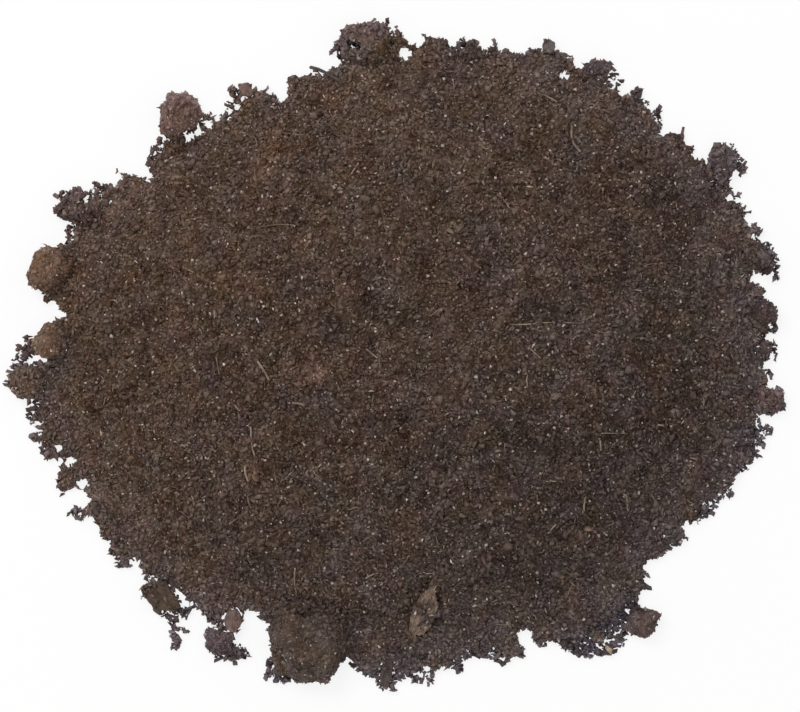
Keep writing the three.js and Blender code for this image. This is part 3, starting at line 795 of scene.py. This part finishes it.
def mesh_of_crumbs(name, places, sizes, stretches, tints, shapes, turns=None, slot="peat"):
    """One piece of many crumbs. Each crumb has a cell of its own in the piece's map."""
    count = len(places)
    turns = any_turns(count) if turns is None else turns
    kinds = rng.integers(0, len(shapes), count)
    cells = math.ceil(math.sqrt(count))
    corners, triangles, colours, spots = [], [], [], []
    start = 0
    for kind, (form, faces) in enumerate(shapes):
        chosen = np.nonzero(kinds == kind)[0]
        scaled = form[None, :, :] * (sizes[chosen, None] * stretches[chosen])[:, None, :]
        moved = np.einsum("nij,nvj->nvi", turns[chosen], scaled) + places[chosen, None, :]
        corners.append(moved.reshape(-1, 3))
        offsets = start + np.arange(len(chosen)) * len(form)
        triangles.append((faces[None, :, :] + offsets[:, None, None]).reshape(-1, 3))
        colours.append(np.repeat(tints[chosen], len(form), axis=0))
        cell = np.stack([chosen % cells, chosen // cells], axis=1)[:, None, :]
        spots.append(((cell + 0.5 + CELL_FILL * form[None, :, :2]) / cells).reshape(-1, 2))
        start += len(chosen) * len(form)
    corners, triangles = np.concatenate(corners), np.concatenate(triangles)
    mesh = bpy.data.meshes.new(name)
    mesh.from_pydata(corners.tolist(), [], triangles.tolist())
    move_corners(mesh, corners)
    mesh.shade_smooth()
    layer = mesh.uv_layers.new(name="OFBake")
    layer.data.foreach_set("uv", np.concatenate(spots)[triangles.ravel()].astype(np.float32).ravel())
    set_tints(mesh, np.concatenate(colours))
    piece = add_object(name, mesh)
    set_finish(piece, slot)
    return piece


def open_faces(piece):
    """The triangles of a piece that face up, with the way each faces and its area."""
    found = corners_of(piece.data).astype(float)[triangles_of(piece.data)]
    across = np.cross(found[:, 1] - found[:, 0], found[:, 2] - found[:, 0])
    area = np.linalg.norm(across, axis=1) / 2
    facing = across / np.maximum(area[:, None] * 2, LEAST_AREA)
    open_up = (facing[:, 2] > OPEN_FACING) & (found[:, :, 2].max(axis=1) > OPEN_HEIGHT)
    return found[open_up], facing[open_up], area[open_up]


def number_on(pieces, to_square_millimetre):
    area = sum(open_faces(piece)[2].sum() for piece in pieces)
    return round(to_square_millimetre * area / MM**2)


def clod_shade(clod):
    return np.array(CLODS.get(node_of(clod), (0, 0, 0)))


def lying_places(pieces, count, covers):
    """Even places on the open surface of some pieces, with the way that the surface faces there."""
    corners, normals, areas = (np.concatenate(found) for found in zip(*map(open_faces, pieces)))
    ends = np.cumsum(areas)
    chosen = np.searchsorted(ends, (np.arange(count) + rng.random(count)) / count * ends[-1])
    a, b = np.sqrt(rng.random(count)), rng.random(count)
    shares = np.stack([1 - a, a * (1 - b), a * b], axis=1)
    places = (corners[chosen] * shares[:, :, None]).sum(axis=1)
    clear = np.array([covers.ray_cast(Vector(place), UP)[0] is None for place in places])
    clear &= ~is_open(places)
    return places[clear], normals[chosen][clear]


def strew(pieces, count, sizes, covers):
    """Places and sizes of crumbs that lie on some pieces."""
    places, normals = lying_places(pieces, count, covers)
    sizes = crumb_sizes(len(places), sizes)
    return places + normals * (rng.uniform(*LIFT, len(places)) * sizes)[:, None], sizes


def tree_of(pieces):
    """The faces of some pieces, to tell what lies above, below or near a place."""
    corners, triangles, start = [], [], 0
    for piece in pieces:
        found = corners_of(piece.data)
        corners.extend(found.tolist())
        triangles.extend((triangles_of(piece.data) + start).tolist())
        start += len(found)
    return BVHTree.FromPolygons(corners, triangles)


def tree_of_points(points):
    tree = KDTree(len(points))
    for index, point in enumerate(points):
        tree.insert(point, index)
    tree.balance()
    return tree


def height_of(ground, place):
    """How high some ground is at a place."""
    below = ground.ray_cast(Vector((place[0], place[1], ABOVE_ALL)), -UP)[0]
    return below.z if below else 0


def rim_reach(bed):
    """How far the mound's foot reaches at each degree of bearing."""
    corners = corners_of(bed.data)
    corners = corners[corners[:, 2] < RIM_HEIGHT]
    bearing = np.degrees(np.arctan2(corners[:, 1], corners[:, 0])).astype(int) % 360
    reach = np.zeros(360)
    np.maximum.at(reach, bearing, np.hypot(corners[:, 0], corners[:, 1]))
    return reach


def rim_point(reach, bearing, outside):
    distance = reach[int(math.degrees(bearing)) % 360] + outside
    return Vector((distance * math.cos(bearing), distance * math.sin(bearing), 0))


def spur_value(reach, bearing):
    """Above 0 where the rim stands out in spurs, and below 0 in the bays between."""
    return noise.noise(rim_point(reach, bearing, 0) / SPUR_PITCH)


def flake_at(x, y, size, height=0):
    """The place and size of a flake on the floor, or on others that lie there."""
    return x, y, FLOOR_LIFT * size + height, size


def clump_flakes(reach):
    """Small clumps on the spurs of the rim."""
    flakes = []
    for _ in range(CLUMPS):
        bearing = rng.uniform(0, math.tau)
        if spur_value(reach, bearing) < BAY:
            continue
        middle = rim_point(reach, bearing, rng.uniform(*CLUMP_OUTSIDE))
        spread = rng.uniform(*CLUMP_REACH)
        for _ in range(rng.integers(*CLUMP_FLAKES)):
            size = rng.uniform(*FLAKE_SIZE) * CROWDED_SIZE
            x, y, height = rng.normal(0, spread, 3)
            flakes.append(flake_at(middle.x + x, middle.y + y, size, abs(height) / 2))
    return flakes


def strewn_flakes(reach):
    """Sprays that run out from the spurs of the rim, each flake against the one before it."""
    flakes = []
    for start in range(SPRAYS):
        bearing = (start + rng.random()) * math.tau / SPRAYS
        spur = spur_value(reach, bearing)
        if spur < BAY:
            continue
        size = rng.uniform(*FLAKE_SIZE)
        x, y, _ = rim_point(reach, bearing, -SPRAY_INSIDE * size)
        heading = bearing + rng.normal(0, SPRAY_FAN)
        flakes.append(flake_at(x, y, size))
        while rng.random() >= SPRAY_END - SPUR_RUN * spur:
            x += SPRAY_STEP * size * math.cos(heading)
            y += SPRAY_STEP * size * math.sin(heading)
            heading += rng.normal(0, SPRAY_WANDER)
            size *= rng.uniform(*SPRAY_GROWTH)
            flakes.append(flake_at(x, y, size))
    return flakes


def placed_flakes():
    """Sprays at places in the photograph, which narrow to their ends."""
    flakes = []
    for *pixels, breadth in PLACED_SPRAYS:
        start = on_floor(pixels[:2])
        run = on_floor(pixels[2:]) - start
        across = Vector((-run.y, run.x, 0)).normalized() * breadth / 2 * MM
        for _ in range(max(1, round(breadth * MM / LANE))):
            along = 0
            while along < 1:
                size = rng.uniform(*FLAKE_SIZE) * CROWDED_SIZE
                spot = start + run * along + across * rng.uniform(-1, 1) * (1 - SPRAY_TAPER * along)
                flakes.append(flake_at(spot.x, spot.y, size))
                along += SPRAY_STEP * size / run.length
    return flakes


def spray_places(reach):
    """Places and sizes of the flakes outside the rim, but for those in gaps."""
    flakes = np.array(clump_flakes(reach) + strewn_flakes(reach) + placed_flakes())
    flakes = flakes[~is_open(flakes[:, :3])]
    return flakes[:, :3], flakes[:, 3]


def touches(heap, place, reach):
    """Whether a place lies in a heap, or so near that something of that reach touches it."""
    above, facing, _, _ = heap.ray_cast(Vector(place), UP)
    return heap.find_nearest(Vector(place))[3] < reach or (above is not None and facing.z > 0)


def lie_against(pieces, places, sizes):
    """Which flakes lie against some pieces, or against another flake that does."""
    heap = tree_of(pieces)
    flakes = tree_of_points(places)
    joined = np.array([touches(heap, *flake) for flake in zip(places, FLAKE_TOUCH * sizes)])
    ends = np.nonzero(joined)[0].tolist()
    while ends:
        index = ends.pop()
        for _, other, away in flakes.find_range(places[index], 2 * FLAKE_SIZE[1]):
            if not joined[other] and away < FLAKE_TOUCH * (sizes[index] + sizes[other]):
                joined[other] = True
                ends.append(other)
    return joined


def seam_places(bed, clods, count):
    """Places where the bed and the clods nearly meet."""
    ground = tree_of([bed])
    places, normals = lying_places(clods, count * SEAM_TRIES, NO_COVER)
    near = np.array([ground.find_nearest(Vector(place))[3] < SEAM_REACH for place in places])
    return places[near][:count], normals[near][:count]


def crumbs_on_chips(chips):
    """Places and sizes of the crumbs that lie on chips, most of them where a chip is covered."""
    places, sizes = strew(chips, number_on(chips, CHIP_CRUMBS), FINE_SIZE, NO_COVER)
    places[:, 2] += CHIP_CRUMB_LIFT
    cover = np.full(len(places), CHIP_BARE)
    for *pixel, reach, share in COVERED_SPOTS:
        cover += share * nearness(places, pixel, reach * MM)
    lying = rng.random(len(places)) < cover
    return places[lying], sizes[lying]


def fine_crumbs(bed, clods, chips, covers, shapes):
    places, sizes = strew([bed], FINE_CRUMBS, FINE_SIZE, covers)
    batches = [(places, sizes, crumb_tints(places, PALE_SHARE * (sizes < PALE_LARGEST)))]
    for clod in clods:
        places, sizes = strew([clod], number_on([clod], CLOD_CRUMBS), CLOD_SIZE, covers)
        batches.append((places, sizes, crumb_tints(places, CLOD_PALE_SHARE, clod_shade(clod))))
    places, sizes = crumbs_on_chips(chips)
    batches.append((places, sizes, crumb_tints(places, PALE_SHARE)))
    places, sizes, tints = map(np.concatenate, zip(*batches))
    pieces = []
    for sector, chosen in zip(SECTORS, np.array_split(np.argsort(places[:, 0]), len(SECTORS))):
        stretch = any_stretch(len(chosen), *FINE_STRETCH)
        crumbs = places[chosen], sizes[chosen], stretch, tints[chosen]
        pieces.append(mesh_of_crumbs(sector + "_fine_crumbs", *crumbs, shapes))
    return pieces


def coarse_crumbs(bed, clods, covers, shapes):
    """Middling crumbs on the bed, and those that fill the seams round the clods."""
    places, sizes = strew([bed], MIDDLING_CRUMBS, MIDDLING_SIZE, covers)
    seams, normals = seam_places(bed, clods, SEAM_CRUMBS)
    seam_sizes = crumb_sizes(len(seams), SEAM_SIZE)
    seams = seams + normals * (SEAM_LIFT * seam_sizes)[:, None]
    places, sizes = np.concatenate([places, seams]), np.concatenate([sizes, seam_sizes])
    stretch = any_stretch(len(places), *COARSE_STRETCH)
    return mesh_of_crumbs("coarse_crumbs", places, sizes, stretch, crumb_tints(places), shapes)


def rim_flakes(bed, clods, chips, shapes):
    """Flakes that have run out from the rim, and those that coat ragged clods."""
    places, sizes = spray_places(rim_reach(bed))
    joined = lie_against([bed] + clods + chips, places, sizes)
    places, sizes = places[joined], sizes[joined]
    batches = [(places, sizes, crumb_tints(places, 0, np.array(FLAKE_SHADE)))]
    for clod in clods:
        if node_of(clod) in RAGGED_CLODS:
            places, sizes = strew([clod], number_on([clod], COAT_FLAKES), COAT_SIZE, NO_COVER)
            batches.append((places, sizes, crumb_tints(places, 0, FLAKE_SHADE + clod_shade(clod))))
    places, sizes, tints = map(np.concatenate, zip(*batches))
    stretch = any_stretch(len(places), *FLAKE_STRETCH)
    return mesh_of_crumbs("rim_flakes", places, sizes, stretch, tints, shapes)


def slivers(bed, clods, covers, shapes):
    places, normals = lying_places([bed] + clods, SLIVERS, covers)
    sizes = crumb_sizes(len(places), SLIVER_SIZE)
    places += normals * SLIVER_LIFT
    stretch = np.tile(SLIVER_STRETCH, (len(places), 1))
    tints = crumb_tints(places, SLIVER_PALE_SHARE)
    return mesh_of_crumbs("slivers", places, sizes, stretch, tints, shapes)


def pale_grit(bed, clods, covers, shapes):
    """Pale, round grains on top of the heap, and some larger ones."""
    ground = tree_of([bed] + clods)
    places, normals = lying_places([bed] + clods, GRIT, covers)
    count = len(places)
    sizes = crumb_sizes(count, GRIT_SIZE)
    places += normals * (GRIT_LIFT * sizes)[:, None]
    pale = np.minimum(rng.exponential(GRIT_SPREAD, count), GRIT_PALEST)
    tints = paint(np.array(GRIT_COLOUR) + pale[:, None])
    stretch = any_stretch(count, *GRIT_STRETCH)
    turns = any_turns(count)
    for pixel, length, breadth, bearing, colour in PALE_GRAINS:
        grain = distance_from(places, pixel).argmin()
        places[grain] = on_floor(pixel)
        places[grain, 2] = height_of(ground, places[grain]) + GRIT_LIFT * breadth * length
        sizes[grain] = length
        stretch[grain] = (1, breadth, breadth)
        turns[grain] = Matrix.Rotation(math.radians(bearing), 3, "Z")
        tints[grain] = paint(colour)
    return mesh_of_crumbs("pale_grit", places, sizes, stretch, tints, shapes, turns)


def splinters(chip, shapes):
    """Strands of bark along a chip's grain, which stand out at its broken ends."""
    places, normals = lying_places([chip], number_on([chip], SPLINTERS), NO_COVER)
    count = len(places)
    _, axes = own_axes(chip)
    lean = rng.normal(0, SPLINTER_FAN, count)
    along = np.outer(np.cos(lean), axes[:, 0]) + np.outer(np.sin(lean), axes[:, 1])
    across = np.cross(normals, along)
    across /= np.linalg.norm(across, axis=1)[:, None]
    turns = np.stack([along, across, np.cross(along, across)], axis=2)
    length = np.ptp(corners_of(chip.data) @ axes[:, 0])
    sizes = np.minimum(crumb_sizes(count, SPLINTER_SIZE), SPLINTER_LONGEST * length)
    stretch = np.tile(SPLINTER_STRETCH, (count, 1))
    slot = chip["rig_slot"]
    dark, _, light = np.array(CHIP_COLOURS[slot], float)
    tints = paint(dark + (light - dark) * rng.random(count)[:, None])
    name = node_of(chip) + "_splinters"
    return mesh_of_crumbs(name, places, sizes, stretch, tints, shapes, turns, slot)


def make_crumbs(bed, clods, chips):
    fine_shapes = crumb_shapes(0, FINE_FACES)
    full_shapes = crumb_shapes(1, 1)
    flake_shapes = crumb_shapes(2, 1, FLAKE_JAGGEDNESS)
    covers = tree_of(clods + chips)
    pieces = fine_crumbs(bed, clods, chips, covers, fine_shapes)
    pieces.append(coarse_crumbs(bed, clods, covers, full_shapes))
    pieces.append(rim_flakes(bed, clods, chips, flake_shapes))
    pieces.append(slivers(bed, clods, covers, fine_shapes))
    pieces.append(pale_grit(bed, clods, covers, fine_shapes))
    return pieces + [splinters(chip, fine_shapes) for chip in chips if node_of(chip) in SPLINTERED_CHIPS]


# Root fibres


def fibre_lines(bed):
    """The points and radius of each fibre: first those in the photograph, then those strewn between."""
    lines = []
    for radius, routes in PLACED_FIBRES.items():
        lines += [([on_floor(pixel) for pixel in route], radius) for route in routes]
    starts, _ = lying_places([bed], FIBRES, NO_COVER)
    for start in starts:
        heading = rng.uniform(0, math.tau)
        step = rng.uniform(*FIBRE_LENGTH) / FIBRE_POINTS
        point, line = Vector(start), []
        for _ in range(FIBRE_POINTS):
            line.append(point.copy())
            point += Vector((step * math.cos(heading), step * math.sin(heading), 0))
            heading += rng.normal(0, FIBRE_WANDER)
        lines.append((line, FIBRE_RADIUS * rng.uniform(*FIBRE_SPREAD)))
    return lines


def make_fibres(bed):
    """Thin root fibres that lie on the heap, as one piece."""
    ground = tree_of([bed])
    curve = bpy.data.curves.new("root_fibres", "CURVE")
    curve.dimensions = "3D"
    curve.bevel_depth = 1
    curve.bevel_resolution = 1
    curve.use_fill_caps = True
    curve.resolution_u = 2
    for line, radius in fibre_lines(bed):
        spline = curve.splines.new("NURBS")
        spline.points.add(len(line) - 1)
        spline.use_endpoint_u = True
        spline.order_u = min(FIBRE_ORDER, len(line))
        for point, place in zip(spline.points, line):
            point.co = (place.x, place.y, height_of(ground, place) + FIBRE_LIFT * radius, 1)
            point.radius = radius
    fibres = add_object("root_fibres", curve)
    select_only(fibres)
    bpy.ops.object.convert(target="MESH")
    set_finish(fibres, "fibre")
    return fibres


# Finishes


def fill(tree, node, inputs):
    """Gives a node's inputs their values, or links them to the outputs that are named."""
    for name, value in inputs.items():
        if isinstance(value, bpy.types.NodeSocket):
            tree.links.new(value, node.inputs[name])
        else:
            node.inputs[name].default_value = value


def add_node(tree, kind, inputs=None, **settings):
    """Adds a node with some settings and inputs, and gives its outputs."""
    node = tree.nodes.new("ShaderNode" + kind)
    for name, value in settings.items():
        setattr(node, name, value)
    fill(tree, node, inputs or {})
    return node.outputs


def add_noise(tree, where, scale, detail=2, roughness=0.5):
    inputs = {"Vector": where, "Scale": scale, "Detail": detail, "Roughness": roughness}
    return add_node(tree, "TexNoise", inputs)["Fac"]


def add_bump(tree, height, strength, depth):
    return add_node(tree, "Bump", {"Height": height, "Strength": strength, "Distance": depth})["Normal"]


def add_ramp(tree, share, positions, colours):
    """The colour that a share has between some colours at their positions."""
    ramp = tree.nodes.new("ShaderNodeValToRGB")
    fill(tree, ramp, {"Fac": share})
    stops = list(zip(positions, colours))
    elements = ramp.color_ramp.elements
    for element, (position, colour) in zip(elements, [stops[0], stops[-1]]):
        element.position = position
        element.color = (*colour, 1)
    for position, colour in stops[1:-1]:
        elements.new(position).color = (*colour, 1)
    return ramp.outputs["Color"]


def new_finish(name, roughness):
    material = bpy.data.materials.new(name)
    material.use_nodes = True
    tree = material.node_tree
    shader = tree.nodes["Principled BSDF"]
    fill(tree, shader, {"Roughness": roughness, "Specular IOR Level": SHEEN})
    return material, tree, shader


def peat_finish(name, bump=None):
    """Each crumb's own tint, mottled finely. The bed and the clods also have a fine bump."""
    material, tree, shader = new_finish(name, PEAT_ROUGHNESS)
    where = add_node(tree, "TexCoord")["Object"]
    tint = add_node(tree, "Attribute", attribute_name="tint")["Color"]
    shade = add_ramp(tree, add_noise(tree, where, 1 / MOTTLE_PITCH), MOTTLE_POSITIONS, MOTTLE_SHADES)
    mixing = {"Factor": 1, "A": tint, "B": shade}
    mixed = add_node(tree, "Mix", mixing, data_type="RGBA", blend_type="MULTIPLY")
    fill(tree, shader, {"Base Color": mixed["Result"]})
    if bump:
        grains = add_noise(tree, where, 1 / BED_GRAIN)
        fill(tree, shader, {"Normal": add_bump(tree, grains, *bump)})
    return material


def chip_finish(name, colours):
    """Bark with streaks of three colours along its grain."""
    material, tree, shader = new_finish(name, BARK_ROUGHNESS)
    along = add_node(tree, "Attribute", attribute_name="along_grain")["Vector"]
    stretched = add_node(tree, "Mapping", {"Vector": along, "Scale": STREAK_STRETCH})["Vector"]
    streaks = add_noise(tree, stretched, *STREAKS)
    blotches = add_noise(tree, along, *BLOTCHES)
    grain = add_node(tree, "Mix", {"Factor": BLOTCH_SHARE, "A": streaks, "B": blotches})["Result"]
    colour = add_ramp(tree, grain, BARK_POSITIONS, map(paint, colours))
    fill(tree, shader, {"Base Color": colour, "Normal": add_bump(tree, streaks, *BARK_BUMP)})
    return material


def fibre_finish():
    """Pale root, mottled along its way."""
    material, tree, shader = new_finish("root_fibre", FIBRE_ROUGHNESS)
    mottle = add_noise(tree, add_node(tree, "TexCoord")["Object"], *FIBRE_MOTTLE)
    fill(tree, shader, {"Base Color": add_ramp(tree, mottle, FIBRE_POSITIONS, map(paint, FIBRE_COLOURS))})
    return material


def finish_all(bed, clods, chips, crumbs, fibres):
    bed_peat = peat_finish("damp_peat_bed", BED_BUMP)
    crumb_peat = peat_finish("damp_peat_crumbs")
    for piece in [bed] + clods:
        # Painted shade: the bed and the clods are darker where they show between the crumbs, with each
        # clod's own colour added
        shade = BED_PAINTED_SHADE + clod_shade(piece)
        set_tints(piece.data, crumb_tints(corners_of(piece.data).astype(float), 0, shade))
        piece.data.materials.append(bed_peat)
    for piece in crumbs:
        piece.data.materials.append(crumb_peat)
    fibres.data.materials.append(fibre_finish())
    finishes = {name: chip_finish(name + "_grain", colours) for name, colours in CHIP_COLOURS.items()}
    for piece in chips:
        piece.data.materials.append(finishes.get(node_of(piece)) or finishes[piece["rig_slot"]])


# Floor, light and camera


def seen_rays(tree):
    """1 for rays that show the background, also mirrored or through glass, and 0 for those that light."""
    path = add_node(tree, "LightPath")
    seen = path["Is Camera Ray"]
    for ray in ["Is Glossy Ray", "Is Transmission Ray"]:
        seen = add_node(tree, "Math", {0: seen, 1: path[ray]}, operation="MAXIMUM")[0]
    return seen


def make_floor():
    bpy.ops.mesh.primitive_plane_add(size=FLOOR_REACH, location=(0, 0, -FLOOR_DROP))
    floor = bpy.context.object
    floor.name = "floor"
    material = bpy.data.materials.new("white_floor")
    material.use_nodes = True
    tree = material.node_tree
    tree.nodes.clear()
    glow = add_node(tree, "Emission", {"Strength": FLOOR_GLOW})[0]
    lit = add_node(tree, "BsdfDiffuse", {"Color": (1 - FLOOR_GLOW, 1 - FLOOR_GLOW, 1 - FLOOR_GLOW, 1)})[0]
    shown = add_node(tree, "AddShader", {0: glow, 1: lit})[0]
    bounce = add_node(tree, "BsdfDiffuse", {"Color": (*FLOOR_BOUNCE, 1)})[0]
    choice = add_node(tree, "MixShader", {0: seen_rays(tree), 1: bounce, 2: shown})[0]
    add_node(tree, "OutputMaterial", {"Surface": choice})
    floor.data.materials.append(material)


def make_sky():
    world = bpy.data.worlds.new("studio")
    bpy.context.scene.world = world
    world.use_nodes = True
    tree = world.node_tree
    light = tree.nodes["Background"]
    fill(tree, light, {"Color": WHITE, "Strength": SKY_STRENGTH})
    backdrop = add_node(tree, "Background", {"Color": WHITE, "Strength": 1})[0]
    choice = add_node(tree, "MixShader", {0: seen_rays(tree), 1: light.outputs[0], 2: backdrop})[0]
    fill(tree, tree.nodes["World Output"], {"Surface": choice})


def make_lamp():
    lamp = add_object("soft_lamp", bpy.data.lights.new("soft_lamp", "AREA"))
    lamp.data.size = LAMP_SIZE
    lamp.data.energy = LAMP_POWER
    lamp.location = LAMP_PLACE
    lamp.rotation_euler = (-Vector(LAMP_PLACE)).to_track_quat("-Z", "Y").to_euler()


def make_camera():
    camera = add_object("camera", bpy.data.cameras.new("camera"))
    camera.data.sensor_width = SENSOR
    camera.data.lens = SENSOR * CAMERA_HEIGHT / (PHOTO_WIDTH * PIXEL)
    camera.location = on_floor((PHOTO_WIDTH / 2, PHOTO_HEIGHT / 2)) + Vector((0, 0, CAMERA_HEIGHT))
    bpy.context.scene.camera = camera


bpy.context.scene.view_settings.view_transform = "Standard"
make_camera()
make_floor()
make_sky()
make_lamp()

bed = make_bed()
clods = [make_clod(node) for node in CLODS]
chips = [make_chip(node, CHIP_FACET, CHIP_RIDGE) for node in CHIPS]
chips.append(make_chip("twig", TWIG_FACET, TWIG_RIDGE))
bank_up(bed, clods)
slope_to_gaps(bed)
crumbs = make_crumbs(bed, clods, chips)
fibres = make_fibres(bed)
finish_all(bed, clods, chips, crumbs, fibres)
for piece in [bed, fibres] + clods + chips + crumbs:
    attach(piece, "root")
